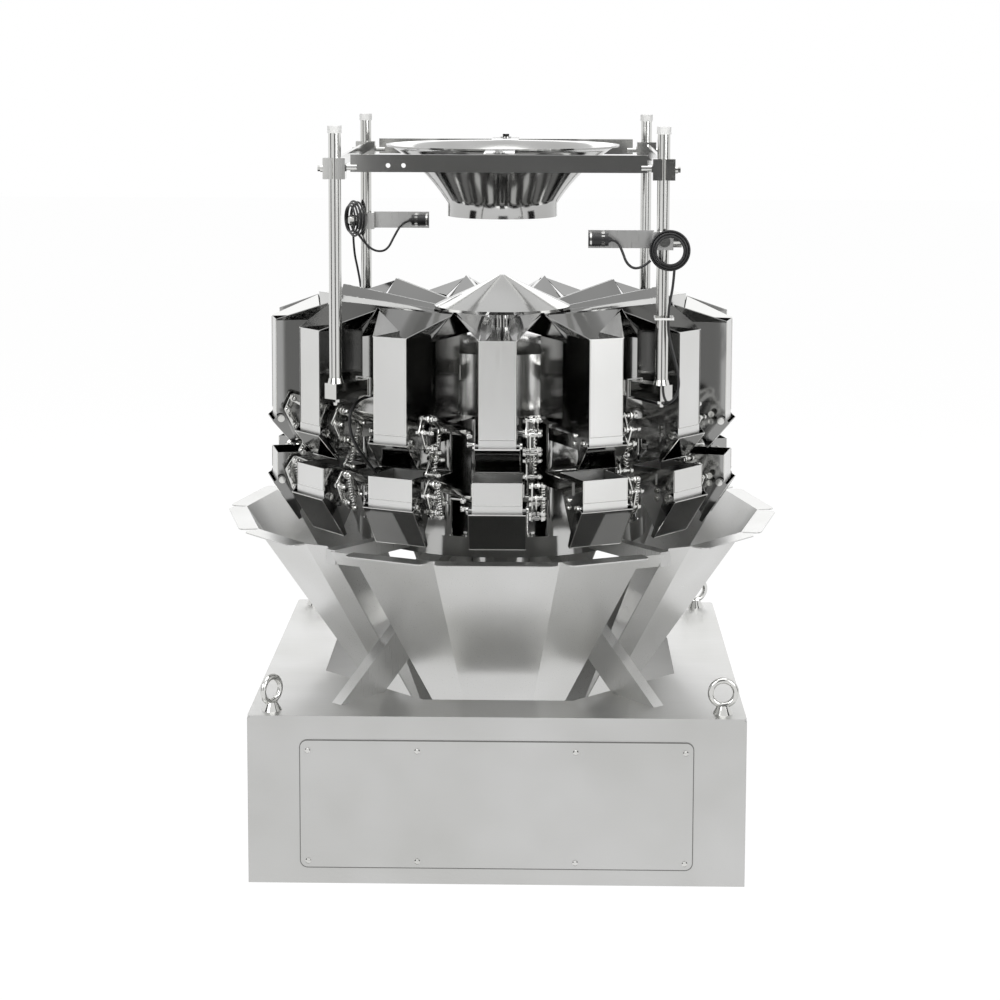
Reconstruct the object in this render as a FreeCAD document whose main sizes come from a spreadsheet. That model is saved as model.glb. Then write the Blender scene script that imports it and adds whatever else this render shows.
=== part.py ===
import FreeCAD, Part
import Sketcher
import math
import os
from FreeCAD import Placement, Rotation, Vector

# Multihead weigher: fourteen heads stand in a ring round a central drum. The
# frame has +Z up and its origin on the floor, on the axis of the ring. The
# first head faces -Y, and the azimuth of a head grows towards +X.

doc = FreeCAD.newDocument("multihead_weigher")
sheet = doc.addObject("Spreadsheet::Sheet", "dimensions")
cells_used = []


class Size:
    # A length together with the sheet formula that gives it.
    def __init__(self, amount, formula):
        self.amount = float(amount)
        self.formula = formula

    def __float__(self):
        return self.amount

    def __neg__(self):
        return Size(-self.amount, "(-1 * %s)" % self.formula)

    def __add__(self, other):
        other = sized(other)
        return Size(self.amount + other.amount, "(%s + %s)" % (self.formula, other.formula))

    def __sub__(self, other):
        other = sized(other)
        return Size(self.amount - other.amount, "(%s - %s)" % (self.formula, other.formula))

    def __rsub__(self, other):
        return sized(other) - self

    def __mul__(self, factor):
        return Size(self.amount * factor, "(%s * %.6f)" % (self.formula, factor))

    def __truediv__(self, factor):
        return Size(self.amount / factor, "(%s / %.6f)" % (self.formula, factor))


def sized(value):
    if isinstance(value, Size):
        return value
    return Size(value, "(%.6f)" % value)


def cell(name, amount):
    # One named driving dimension of the sheet, in millimetres or degrees.
    row = "B%d" % (len(cells_used) + 1)
    cells_used.append(name)
    sheet.set(row, str(amount))
    sheet.setAlias(row, name)
    doc.recompute()
    return Size(getattr(sheet, name), "dimensions." + name)


# ---- sizes shared by several pieces
head_count = cell("head_count", 14)
touch_gap = cell("touch_gap", 0.3)
swing_gap = cell("swing_gap", 5.2)
thin_sheet = cell("thin_sheet", 1.5)

# Base box
base_width = cell("base_width", 950)
base_height = cell("base_height", 329)
base_sheet = cell("base_sheet", 4)
base_corner_radius = cell("base_corner_radius", 8)
base_hole_apothem = cell("base_hole_apothem", 355)
cover_width = cell("cover_width", 750)
cover_height = cell("cover_height", 250)
cover_thickness = cell("cover_thickness", 2)
cover_bottom = cell("cover_bottom", 32)
cover_corner_radius = cell("cover_corner_radius", 14)
eye_place = cell("eye_place", 433)
eye_ring_radius = cell("eye_ring_radius", 24)
eye_bar_radius = cell("eye_bar_radius", 6)
eye_collar_height = cell("eye_collar_height", 16)
eye_collar_radius = cell("eye_collar_radius", 20)
eye_neck_radius = cell("eye_neck_radius", 11)

# Discharge chutes
rim_height = cell("rim_height", 640)
rim_apothem = cell("rim_apothem", 521)
chute_bottom = cell("chute_bottom", 150)
chute_steepness = cell("chute_steepness", 1.48)
chute_wall = cell("chute_wall", 2.4)
lip_width = cell("lip_width", 36)
lip_thickness = cell("lip_thickness", 2.4)
lip_corner_radius = cell("lip_corner_radius", 14)
lip_end_gap = cell("lip_end_gap", 4)
wing_edge_gap = cell("wing_edge_gap", 60)
flange_step = cell("flange_step", 26.6)

# Struts and hangers
strut_width = cell("strut_width", 25)
strut_foot_inner = cell("strut_foot_inner", 376)
strut_foot_outer = cell("strut_foot_outer", 500)
strut_rise = cell("strut_rise", 0.73)
hanger_bottom = cell("hanger_bottom", 608)
hanger_top = cell("hanger_top", 636)
hanger_reach = cell("hanger_reach", 515)

# Central body
disc_radius = cell("disc_radius", 300)
disc_bottom = cell("disc_bottom", 600)
disc_top = cell("disc_top", 640)
hub_radius = cell("hub_radius", 110)
hub_bottom = cell("hub_bottom", 515)
column_radius = cell("column_radius", 125)
flange_radius = cell("flange_radius", 155)
flange_bottom = cell("flange_bottom", 849)
drum_bottom = cell("drum_bottom", 854)
drum_radius = cell("drum_radius", 148)
drum_shoulder = cell("drum_shoulder", 980)
drum_top = cell("drum_top", 1005)
drum_flat_radius = cell("drum_flat_radius", 30)
drum_dome_radius = cell("drum_dome_radius", 430)

# Cone
cone_neck_radius = cell("cone_neck_radius", 26)
cone_radius = cell("cone_radius", 140)
cone_underside = cell("cone_underside", 1060)
cone_rim_top = cell("cone_rim_top", 1066)
cone_apex = cell("cone_apex", 1128)
cone_tip_radius = cell("cone_tip_radius", 6)

# Drive units
drive_inner = cell("drive_inner", 200)
drive_outer = cell("drive_outer", 300)
drive_half_width = cell("drive_half_width", 38)
drive_top = cell("drive_top", 862)
drive_corner_radius = cell("drive_corner_radius", 12)
vibrator_inner = cell("vibrator_inner", 240)
vibrator_outer = cell("vibrator_outer", 340)
vibrator_half_width = cell("vibrator_half_width", 27)

# Feeder pans
pan_underside = cell("pan_underside", 1029.5)
pan_inner = cell("pan_inner", 105)
pan_outer = cell("pan_outer", 369)
pan_tongue_outer = cell("pan_tongue_outer", 385)
pan_tongue_half_width = cell("pan_tongue_half_width", 28)
pan_inner_half_width = cell("pan_inner_half_width", 15)
pan_outer_half_width = cell("pan_outer_half_width", 30)
pan_inner_ridge_half = cell("pan_inner_ridge_half", 23)
pan_outer_ridge_half = cell("pan_outer_ridge_half", 83)
pan_inner_ridge = cell("pan_inner_ridge", 1052)
pan_outer_ridge = cell("pan_outer_ridge", 1091)

# Feed hoppers
hopper_front = cell("hopper_front", 472)
hopper_back = cell("hopper_back", 372)
feed_half_width = cell("feed_half_width", 35.5)
feed_top = cell("feed_top", 1049)
feed_back_top = cell("feed_back_top", 1020)
feed_back_bend = cell("feed_back_bend", 930)
feed_outlet_back = cell("feed_outlet_back", 437)
feed_outlet_low = cell("feed_outlet_low", 800)
wing_reach = cell("wing_reach", 80)
wing_top = cell("wing_top", 1086)

# Weigh hoppers
weigh_half_width = cell("weigh_half_width", 47.5)
weigh_top = cell("weigh_top", 780)
weigh_back_bend = cell("weigh_back_bend", 760)
weigh_outlet_back = cell("weigh_outlet_back", 429)
weigh_outlet_low = cell("weigh_outlet_low", 655)

# Gates
stud_radius = cell("stud_radius", 4)
pin_play = cell("pin_play", 0.1)
boss_radius = cell("boss_radius", 9)
stud_overhang = cell("stud_overhang", 2.5)
ear_gap = cell("ear_gap", 6.5)
hinge_radius = cell("hinge_radius", 464)
feed_hinge_height = cell("feed_hinge_height", 849)
feed_gate_tilt = cell("feed_gate_tilt", 40.24)
feed_gate_depth = cell("feed_gate_depth", 15.56)
feed_gate_above = cell("feed_gate_above", 7.9)
feed_gate_below = cell("feed_gate_below", 60.2)
weigh_hinge_height = cell("weigh_hinge_height", 726)
weigh_gate_tilt = cell("weigh_gate_tilt", 33.18)
weigh_gate_depth = cell("weigh_gate_depth", 16.97)
weigh_gate_above = cell("weigh_gate_above", 5.1)
weigh_gate_below = cell("weigh_gate_below", 88)

# Hopper brackets
bracket_plate = cell("bracket_plate", 3)
bracket_reach = cell("bracket_reach", 430)
bracket_height = cell("bracket_height", 25)
feed_bracket_low = cell("feed_bracket_low", 832)
weigh_bracket_low = cell("weigh_bracket_low", 745)
feed_bracket_arm = cell("feed_bracket_arm", 2)
weigh_bracket_arm = cell("weigh_bracket_arm", 3)

# Top frame
arm_width = cell("arm_width", 30)
arm_low = cell("arm_low", 927)
arm_reach = cell("arm_reach", 512)
post_x = cell("post_x", 310)
post_y = cell("post_y", 389)
post_radius = cell("post_radius", 12)
post_top = cell("post_top", 1432)
cap_radius = cell("cap_radius", 13.5)
cap_height = cell("cap_height", 14)
clamp_width = cell("clamp_width", 42)
clamp_depth = cell("clamp_depth", 40)
clamp_low = cell("clamp_low", 1346)
clamp_high = cell("clamp_high", 1386)
clamp_slot = cell("clamp_slot", 7)
bar_half_length = cell("bar_half_length", 280)
bar_thickness = cell("bar_thickness", 8)
front_bar_low = cell("front_bar_low", 1359)
front_bar_high = cell("front_bar_high", 1392)
side_bar_low = cell("side_bar_low", 1363)
side_bar_high = cell("side_bar_high", 1383)
bar_hole_radius = cell("bar_hole_radius", 4.5)
bar_hole_outer = cell("bar_hole_outer", 209)
bar_hole_inner = cell("bar_hole_inner", 180)
bar_hole_height = cell("bar_hole_height", 1371.5)
bar_stub_radius = cell("bar_stub_radius", 6)

# Funnel
funnel_rim_radius = cell("funnel_rim_radius", 239)
funnel_rim_height = cell("funnel_rim_height", 1396)
funnel_mouth_radius = cell("funnel_mouth_radius", 227)
funnel_mouth_height = cell("funnel_mouth_height", 1391)
funnel_waist_radius = cell("funnel_waist_radius", 161)
funnel_waist_height = cell("funnel_waist_height", 1337)
funnel_neck_radius = cell("funnel_neck_radius", 112)
funnel_neck_top = cell("funnel_neck_top", 1276)
funnel_bottom = cell("funnel_bottom", 1249)
funnel_tab_half = cell("funnel_tab_half", 29)
funnel_tab_thickness = cell("funnel_tab_thickness", 3.5)

# Level sensors
sensor_arm_plate = cell("sensor_arm_plate", 3)
right_arm_inner = cell("right_arm_inner", 169)
right_arm_low = cell("right_arm_low", 1217)
right_arm_high = cell("right_arm_high", 1251)
left_arm_inner = cell("left_arm_inner", 170)
left_arm_low = cell("left_arm_low", 1194)
left_arm_high = cell("left_arm_high", 1230)
sensor_radius = cell("sensor_radius", 12)
sensor_length = cell("sensor_length", 38)
sensor_clamp_width = cell("sensor_clamp_width", 38)

head_step = 360.0 / round(float(head_count))
half_step = head_step / 2
split_angles = [1.5 * head_step, 180 - 1.5 * head_step, 180 + 1.5 * head_step, 360 - 1.5 * head_step]


# ---- building helpers
def bind(thing, path, size):
    thing.setExpression(path, sized(size).formula)


def new_body(label):
    body = doc.addObject("PartDesign::Body", label)
    body.Label = label
    return body


def origin_part(body, role):
    for feature in body.Origin.OriginFeatures:
        if feature.Role == role:
            return feature
    raise ValueError("no origin feature " + role)


def new_sketch(body, name, role, lift=0, across=0, up=0, turn=0):
    sketch = body.newObject("Sketcher::SketchObject", name)
    sketch.AttachmentSupport = [(origin_part(body, role), "")]
    sketch.MapMode = "FlatFace"
    turned = Rotation(Vector(0, 0, 1), float(turn))
    sketch.AttachmentOffset = Placement(Vector(float(across), float(up), float(lift)), turned)
    bind(sketch, "AttachmentOffset.Base.x", across)
    bind(sketch, "AttachmentOffset.Base.y", up)
    bind(sketch, "AttachmentOffset.Base.z", lift)
    if isinstance(turn, Size):
        bind(sketch, "AttachmentOffset.Rotation.Angle", turn)
    return sketch


def fix_point(sketch, geometry, place, point):
    # Ties one point of the sketch to the sheet.
    for axis, amount in enumerate(point):
        if not isinstance(amount, Size) and amount == 0:
            sketch.addConstraint(Sketcher.Constraint("PointOnObject", geometry, place, axis - 2))
            continue
        kind = ("DistanceX", "DistanceY")[axis]
        number = sketch.addConstraint(
            Sketcher.Constraint(kind, -1, 1, geometry, place, float(amount))
        )
        name = "%s%d_%d" % (("across", "up")[axis], geometry, place)
        sketch.renameConstraint(number, name)
        bind(sketch, "Constraints." + name, amount)


def outline(sketch, points, arcs=None):
    # A closed outline through the points. arcs maps the number of an edge to
    # the (centre, radius) it curves about.
    arcs = arcs or {}
    first = sketch.GeometryCount
    count = len(points)
    starts = []
    ends = []
    for number in range(count):
        here = Vector(float(points[number][0]), float(points[number][1]), 0)
        after = points[(number + 1) % count]
        there = Vector(float(after[0]), float(after[1]), 0)
        if number not in arcs:
            sketch.addGeometry(Part.LineSegment(here, there), False)
            starts.append(1)
            ends.append(2)
            continue
        centre = Vector(float(arcs[number][0][0]), float(arcs[number][0][1]), 0)
        radius = float(arcs[number][1])
        forward = (here - centre).cross(there - centre).z > 0
        low, high = (here, there) if forward else (there, here)
        low_angle = math.atan2(low.y - centre.y, low.x - centre.x)
        high_angle = math.atan2(high.y - centre.y, high.x - centre.x)
        if high_angle < low_angle:
            high_angle += 2 * math.pi
        circle = Part.Circle(centre, Vector(0, 0, 1), radius)
        sketch.addGeometry(Part.ArcOfCircle(circle, low_angle, high_angle), False)
        starts.append(1 if forward else 2)
        ends.append(2 if forward else 1)
    for number in range(count):
        after = (number + 1) % count
        sketch.addConstraint(Sketcher.Constraint(
            "Coincident", first + number, ends[number], first + after, starts[after]
        ))
    for number in range(count):
        fix_point(sketch, first + number, starts[number], points[number])
    for number in arcs:
        radius = arcs[number][1]
        made = sketch.addConstraint(
            Sketcher.Constraint("Radius", first + number, float(radius))
        )
        name = "radius%d" % (first + number)
        sketch.renameConstraint(made, name)
        bind(sketch, "Constraints." + name, radius)


def round_hole(sketch, centre, radius):
    geometry = sketch.GeometryCount
    middle = Vector(float(centre[0]), float(centre[1]), 0)
    sketch.addGeometry(Part.Circle(middle, Vector(0, 0, 1), float(radius)), False)
    fix_point(sketch, geometry, 3, centre)
    made = sketch.addConstraint(Sketcher.Constraint("Radius", geometry, float(radius)))
    name = "radius%d" % geometry
    sketch.renameConstraint(made, name)
    bind(sketch, "Constraints." + name, radius)


def rounded_rectangle(sketch, left, right, low, high, radius):
    radius = sized(radius)
    points = [
        (left + radius, low),
        (right - radius, low),
        (right, low + radius),
        (right, high - radius),
        (right - radius, high),
        (left + radius, high),
        (left, high - radius),
        (left, low + radius),
    ]
    arcs = {
        1: ((right - radius, low + radius), radius),
        3: ((right - radius, high - radius), radius),
        5: ((left + radius, high - radius), radius),
        7: ((left + radius, low + radius), radius),
    }
    outline(sketch, points, arcs)


def rectangle(sketch, left, right, low, high):
    outline(sketch, [(left, low), (right, low), (right, high), (left, high)])


def pad(body, name, sketch, length, both_ways=False, back=False):
    feature = body.newObject("PartDesign::Pad", name)
    feature.Profile = sketch
    if both_ways:
        feature.SideType = "Symmetric"
    feature.Reversed = back
    bind(feature, "Length", length)
    body.Tip = feature
    doc.recompute()
    return feature


def pocket(body, name, sketch, length, both_ways=False, back=False):
    before = body.Shape.Volume
    feature = body.newObject("PartDesign::Pocket", name)
    feature.Profile = sketch
    if both_ways:
        feature.SideType = "Symmetric"
    feature.Reversed = back
    bind(feature, "Length", length)
    body.Tip = feature
    doc.recompute()
    if not body.Shape.Volume < before - 1:
        raise ValueError("%s of %s cuts nothing" % (name, body.Label))
    return feature


def spin(body, name, sketch):
    feature = body.newObject("PartDesign::Revolution", name)
    feature.Profile = sketch
    feature.ReferenceAxis = (sketch, ["V_Axis"])
    feature.Angle = 360
    body.Tip = feature
    doc.recompute()
    return feature


def loft(body, name, sections):
    feature = body.newObject("PartDesign::AdditiveLoft", name)
    feature.Profile = sections[0]
    feature.Sections = sections[1:]
    feature.Ruled = True
    body.Tip = feature
    doc.recompute()
    return feature


def repeat_round(body, feature, count):
    # Copies the whole body round the axis of the ring.
    pattern = body.newObject("PartDesign::PolarPattern", "ring_of_copies")
    pattern.TransformMode = "Whole shape"
    pattern.Originals = [feature]
    pattern.Axis = (origin_part(body, "Z_Axis"), [""])
    pattern.Angle = 360
    bind(pattern, "Occurrences", count)
    body.Tip = pattern
    doc.recompute()
    return pattern


def mirror_sides(body, feature):
    mirror = body.newObject("PartDesign::Mirrored", "other_side")
    mirror.TransformMode = "Whole shape"
    mirror.Originals = [feature]
    mirror.MirrorPlane = (origin_part(body, "YZ_Plane"), [""])
    body.Tip = mirror
    doc.recompute()
    return mirror


def placed_copy(label, master, placement):
    copy = doc.addObject("Part::Compound", label)
    copy.Label = label
    copy.Links = [master]
    copy.Placement = placement
    return copy


def turned_copies(label, master, angles):
    copies = []
    for number, angle in enumerate(angles):
        turned = Placement(Vector(0, 0, 0), Rotation(Vector(0, 0, 1), angle))
        copies.append(placed_copy("%s_%d_copy" % (label, number + 1), master, turned))
    return gathered(label, copies)


def gathered(label, pieces):
    group = doc.addObject("Part::Compound", label)
    group.Label = label
    group.Links = pieces
    doc.recompute()
    return group


def box(name, low, size, turn=0):
    block = doc.addObject("Part::Box", name)
    for path, amount in zip(("Length", "Width", "Height"), size):
        bind(block, path, amount)
    place_at(block, low)
    return block


def place_at(thing, place):
    for path, amount in zip(("x", "y", "z"), place):
        bind(thing, "Placement.Base." + path, amount)


def rod(name, radius, height, foot, axis=None, angle=0):
    cylinder = doc.addObject("Part::Cylinder", name)
    if axis:
        cylinder.Placement = Placement(Vector(0, 0, 0), Rotation(Vector(*axis), angle))
    bind(cylinder, "Radius", radius)
    bind(cylinder, "Height", height)
    place_at(cylinder, foot)
    return cylinder


def fused(label, pieces):
    union = doc.addObject("Part::MultiFuse", label)
    union.Label = label
    union.Shapes = pieces
    doc.recompute()
    return union


def cut_away(label, block, tool):
    rest = doc.addObject("Part::Cut", label)
    rest.Label = label
    rest.Base = block
    rest.Tool = tool
    doc.recompute()
    return rest


nodes = []


def keep(thing):
    # Marks an object as a finished piece of the weigher.
    nodes.append(thing)
    return thing


# ---- base box
octagon_half_side = base_hole_apothem * math.tan(math.pi / 8)
base_top = new_body("base_top")
plate = new_sketch(base_top, "base_top_outline", "XY_Plane", lift=base_height - base_sheet)
half = base_width / 2
rounded_rectangle(plate, -half, half, -half, half, base_corner_radius)
last = pad(base_top, "top_plate", plate, base_sheet)
hole = new_sketch(base_top, "octagonal_hole", "XY_Plane", lift=base_height)
corners = []
for first, second in ((1, 0), (0, 1)):
    corners.append(None)
corners = [
    (octagon_half_side, -base_hole_apothem),
    (base_hole_apothem, -octagon_half_side),
    (base_hole_apothem, octagon_half_side),
    (octagon_half_side, base_hole_apothem),
    (-octagon_half_side, base_hole_apothem),
    (-base_hole_apothem, octagon_half_side),
    (-base_hole_apothem, -octagon_half_side),
    (-octagon_half_side, -base_hole_apothem),
]
outline(hole, corners)
pocket(base_top, "chute_opening", hole, base_sheet)
keep(base_top)

# Four mitred walls stand under the top plate with a hair gap at each mitre.
base_walls = new_body("base_walls")
wall = new_sketch(base_walls, "front_wall_outline", "XY_Plane")
long_half = half - touch_gap
short_half = half - base_sheet - touch_gap
outline(wall, [
    (-long_half, -half),
    (long_half, -half),
    (short_half, -(half - base_sheet)),
    (-short_half, -(half - base_sheet)),
])
last = pad(base_walls, "front_wall", wall, base_height - base_sheet)
repeat_round(base_walls, last, 4)
keep(base_walls)

# A screwed service cover lies on each of the four walls.
service_covers = new_body("service_covers")
cover = new_sketch(service_covers, "cover_outline", "XZ_Plane", lift=half)
rounded_rectangle(
    cover,
    -(cover_width / 2),
    cover_width / 2,
    cover_bottom,
    cover_bottom + cover_height,
    cover_corner_radius,
)
last = pad(service_covers, "front_cover", cover, cover_thickness)
repeat_round(service_covers, last, 4)
keep(service_covers)


# Lifting eyes on the corners of the base: a ring on a conical collar.
def eye_bolt(number, side_x, side_y, turn):
    collar = doc.addObject("Part::Cone", "eye_collar_%d" % number)
    bind(collar, "Radius1", eye_collar_radius)
    bind(collar, "Radius2", eye_neck_radius)
    bind(collar, "Height", eye_collar_height)
    place_at(collar, (eye_place * side_x, eye_place * side_y, base_height))
    ring = doc.addObject("Part::Torus", "eye_ring_%d" % number)
    bind(ring, "Radius1", eye_ring_radius)
    bind(ring, "Radius2", eye_bar_radius)
    upright = Rotation(Vector(1, 0, 0), 90)
    ring.Placement = Placement(Vector(0, 0, 0), Rotation(Vector(0, 0, 1), turn).multiply(upright))
    centre_height = base_height + eye_collar_height + eye_ring_radius
    place_at(ring, (eye_place * side_x, eye_place * side_y, centre_height))
    return fused("eye_bolt_%d" % number, [collar, ring])


eyes = []
eyes.append(eye_bolt(1, -1, -1, 55))
eyes.append(eye_bolt(2, 1, -1, 0))
eyes.append(eye_bolt(3, 1, 1, 20))
eyes.append(eye_bolt(4, -1, 1, -20))
keep(gathered("eye_bolts", eyes))


# ---- discharge chutes
# Each line of the plan is (normal angle, distance): the chute panels face
# outwards at the azimuth of their head, and the cut lines run along a split.
def facing(azimuth, distance):
    angle = math.radians(azimuth)
    return (math.sin(angle), -math.cos(angle), distance)


def beside(split, distance):
    angle = math.radians(split)
    return (math.cos(angle), math.sin(angle), distance)


def meet(first, second):
    across = first[0] * second[1] - first[1] * second[0]
    x = (first[2] * second[1] - first[1] * second[2]) / across
    y = (first[0] * second[2] - first[2] * second[0]) / across
    return (x, y)


def plan_points(lines, inset):
    # Corners of a bent sheet seen from above. The first and last line only
    # cut the sheet off; the others are its panels.
    moved = [lines[0]]
    for line in lines[1:-1]:
        moved.append((line[0], line[1], line[2] - inset))
    moved.append(lines[-1])
    return [meet(moved[number], moved[number + 1]) for number in range(len(moved) - 1)]


def closed_wire(points, height):
    corners = [Vector(x, y, height) for x, y in points]
    return Part.makePolygon(corners + corners[:1])


def bent_sheet(lines_at, low, high, wall):
    # A bent sheet between two heights, its panels leaning outwards.
    wires = []
    for height in (low, high):
        lines = lines_at(height)
        outer = plan_points(lines, 0)
        inner = plan_points(lines, wall)
        wires.append(closed_wire(outer + inner[::-1], height))
    return Part.makeLoft(wires, True, True)


def apothem_at(height):
    return float(rim_apothem) - (float(rim_height) - height) / float(chute_steepness)


def rounded_lip(azimuth, low_t, high_t):
    inner = float(rim_apothem) - 1
    outer = float(rim_apothem) + float(lip_width)
    radius = float(lip_corner_radius)
    low = float(rim_height) - float(lip_thickness)

    def at(t, r):
        return Vector(t, -r, low)

    slant = radius * (1 - math.sqrt(0.5))
    edges = [
        Part.LineSegment(at(low_t, inner), at(high_t, inner)),
        Part.LineSegment(at(high_t, inner), at(high_t, outer - radius)),
        Part.Arc(at(high_t, outer - radius), at(high_t - slant, outer - slant), at(high_t - radius, outer)),
        Part.LineSegment(at(high_t - radius, outer), at(low_t + radius, outer)),
        Part.Arc(at(low_t + radius, outer), at(low_t + slant, outer - slant), at(low_t, outer - radius)),
        Part.LineSegment(at(low_t, outer - radius), at(low_t, inner)),
    ]
    wire = Part.Wire([edge.toShape() for edge in edges])
    lip = Part.Face(wire).extrude(Vector(0, 0, float(lip_thickness)))
    lip.rotate(Vector(0, 0, 0), Vector(0, 0, 1), azimuth)
    return lip


def along(azimuth, point):
    # Distance of a plan point along the panel that faces the azimuth.
    angle = math.radians(azimuth)
    return point[0] * math.cos(angle) + point[1] * math.sin(angle)


def chute(label, first_head, last_head, first_split, last_split, flanged):
    step_in = float(flange_step)
    if flanged:
        edge = float(strut_width) / 2 + float(touch_gap)
    else:
        edge = float(wing_edge_gap)

    def lines_at(height):
        apothem = apothem_at(height)
        lines = [beside(first_split, edge)]
        if flanged:
            lines.append(facing((first_head - 1) * head_step, apothem - step_in))
        for head in range(first_head, last_head + 1):
            lines.append(facing(head * head_step, apothem))
        if flanged:
            lines.append(facing((last_head + 1) * head_step, apothem - step_in))
        lines.append(beside(last_split, -edge))
        return lines

    low = float(chute_bottom)
    high = float(rim_height)
    shape = bent_sheet(lines_at, low, high, float(chute_wall))
    rim_points = plan_points(lines_at(high), 0)
    gap = float(lip_end_gap)
    extras = []
    shift = 1 if flanged else 0
    for number, head in enumerate(range(first_head, last_head + 1)):
        azimuth = head * head_step
        low_t = along(azimuth, rim_points[number + shift]) + gap
        high_t = along(azimuth, rim_points[number + shift + 1]) - gap
        extras.append(rounded_lip(azimuth, low_t, high_t))
    if not flanged:
        # Ears run on from the wing edges to the hangers.
        near = float(strut_width) / 2 + float(touch_gap)
        for split, head, side in ((first_split, first_head, 1), (last_split, last_head, -1)):
            def ear_lines(height, split=split, head=head, side=side):
                ends = [beside(split, side * near), beside(split, side * (edge + 3))]
                panel = facing(head * head_step, apothem_at(height))
                if side > 0:
                    return [ends[0], panel, ends[1]]
                return [ends[1], panel, ends[0]]

            ear = bent_sheet(ear_lines, float(hanger_bottom), float(hanger_top), float(chute_wall))
            extras.append(ear)
    shape = shape.multiFuse(extras).removeSplitter()
    piece = doc.addObject("Part::Feature", label)
    piece.Label = label
    piece.Shape = shape
    piece.Placement = Placement()
    return keep(piece)


quarter = 1.5 * head_step
chute("discharge_chute_front", -1, 1, -quarter, quarter, False)
chute("discharge_chute_right", 2, 5, quarter, 180 - quarter, True)
chute("discharge_chute_back", 6, 8, 180 - quarter, 180 + quarter, False)
chute("discharge_chute_left", 9, 12, 180 + quarter, 360 - quarter, True)

# ---- struts and hangers in the four splits of the chutes
hanger = new_body("hanger_master")
hanger_side = new_sketch(hanger, "hanger_side", "YZ_Plane")
rectangle(
    hanger_side,
    -hanger_reach,
    -(disc_radius + touch_gap),
    hanger_bottom,
    hanger_top,
)
pad(hanger, "hanger_bar", hanger_side, strut_width, both_ways=True)
strut_lean = 1 / float(strut_rise)
strut = new_body("strut_master")
strut_side = new_sketch(strut, "strut_side", "YZ_Plane")
strut_climb = disc_bottom - base_height
hub_edge = hub_radius + touch_gap
strut_inner_rise = (strut_foot_inner - hub_edge) * float(strut_rise)
outline(strut_side, [
    (-strut_foot_outer, base_height),
    (-strut_foot_inner, base_height),
    (-hub_edge, base_height + strut_inner_rise),
    (-hub_edge, disc_bottom),
    (-(strut_foot_outer - strut_climb * strut_lean), disc_bottom),
])
pad(strut, "strut_bar", strut_side, strut_width, both_ways=True)
hangers = turned_copies("hangers", hanger, split_angles)
struts = turned_copies("struts", strut, split_angles)
keep(gathered("support_struts", [struts, hangers]))

# ---- central body, drum and cone
central_body = new_body("central_body")
profile = new_sketch(central_body, "body_profile", "XZ_Plane")
outline(profile, [
    (0, hub_bottom),
    (hub_radius, hub_bottom),
    (hub_radius, disc_bottom),
    (disc_radius, disc_bottom),
    (disc_radius, disc_top),
    (column_radius, disc_top),
    (column_radius, flange_bottom),
    (flange_radius, flange_bottom),
    (flange_radius, drum_bottom),
    (0, drum_bottom),
])
spin(central_body, "turned_body", profile)
keep(central_body)

vibrator_drum = new_body("vibrator_drum")
profile = new_sketch(vibrator_drum, "drum_profile", "XZ_Plane")
outline(
    profile,
    [
        (0, drum_bottom),
        (drum_radius, drum_bottom),
        (drum_radius, drum_shoulder),
        (drum_flat_radius, drum_top),
        (0, drum_top),
    ],
    {2: ((0, drum_top - drum_dome_radius), drum_dome_radius)},
)
spin(vibrator_drum, "turned_drum", profile)
keep(vibrator_drum)

dispersion_cone = new_body("dispersion_cone")
profile = new_sketch(dispersion_cone, "cone_profile", "XZ_Plane")
outline(profile, [
    (0, drum_top),
    (cone_neck_radius, drum_top),
    (cone_neck_radius, cone_underside),
    (cone_radius, cone_underside),
    (cone_radius, cone_rim_top),
    (cone_tip_radius, cone_apex),
    (0, cone_apex),
])
spin(dispersion_cone, "turned_cone", profile)
keep(dispersion_cone)

# ---- drive units: a tall box for each head, and its feeder vibrator on top
drive_units = new_body("drive_units")
floor_plan = new_sketch(drive_units, "drive_box_plan", "XY_Plane", lift=disc_top)
rounded_rectangle(
    floor_plan,
    -drive_half_width,
    drive_half_width,
    -drive_outer,
    -drive_inner,
    drive_corner_radius,
)
pad(drive_units, "drive_box", floor_plan, drive_top - disc_top)
floor_plan = new_sketch(drive_units, "vibrator_plan", "XY_Plane", lift=drive_top)
rectangle(
    floor_plan,
    -vibrator_half_width,
    vibrator_half_width,
    -vibrator_outer,
    -vibrator_inner,
)
last = pad(drive_units, "feeder_vibrator", floor_plan, pan_underside - drive_top)
repeat_round(drive_units, last, head_count)
keep(drive_units)


# ---- feeder pans: folded troughs that widen outwards, side by side
def pan_section(body, name, radius, half_width, ridge_half, ridge):
    section = new_sketch(body, name, "XZ_Plane", lift=radius)
    lean = thin_sheet * 1.3
    outline(section, [
        (-half_width, pan_underside),
        (half_width, pan_underside),
        (ridge_half, ridge),
        (ridge_half - lean, ridge),
        (half_width - lean, pan_underside + thin_sheet),
        (-(half_width - lean), pan_underside + thin_sheet),
        (-(ridge_half - lean), ridge),
        (-ridge_half, ridge),
    ])
    return section


feeder_pans = new_body("feeder_pans")
near = pan_section(
    feeder_pans, "inner_end", pan_inner, pan_inner_half_width, pan_inner_ridge_half, pan_inner_ridge
)
far = pan_section(
    feeder_pans, "outer_end", pan_outer, pan_outer_half_width, pan_outer_ridge_half, pan_outer_ridge
)
loft(feeder_pans, "trough", [near, far])
tongue = new_sketch(feeder_pans, "tongue_plan", "XY_Plane", lift=pan_underside)
rectangle(
    tongue,
    -pan_tongue_half_width,
    pan_tongue_half_width,
    -pan_tongue_outer,
    -(pan_outer - 6),
)
last = pad(feeder_pans, "tongue", tongue, thin_sheet)
repeat_round(feeder_pans, last, head_count)
keep(feeder_pans)


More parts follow.
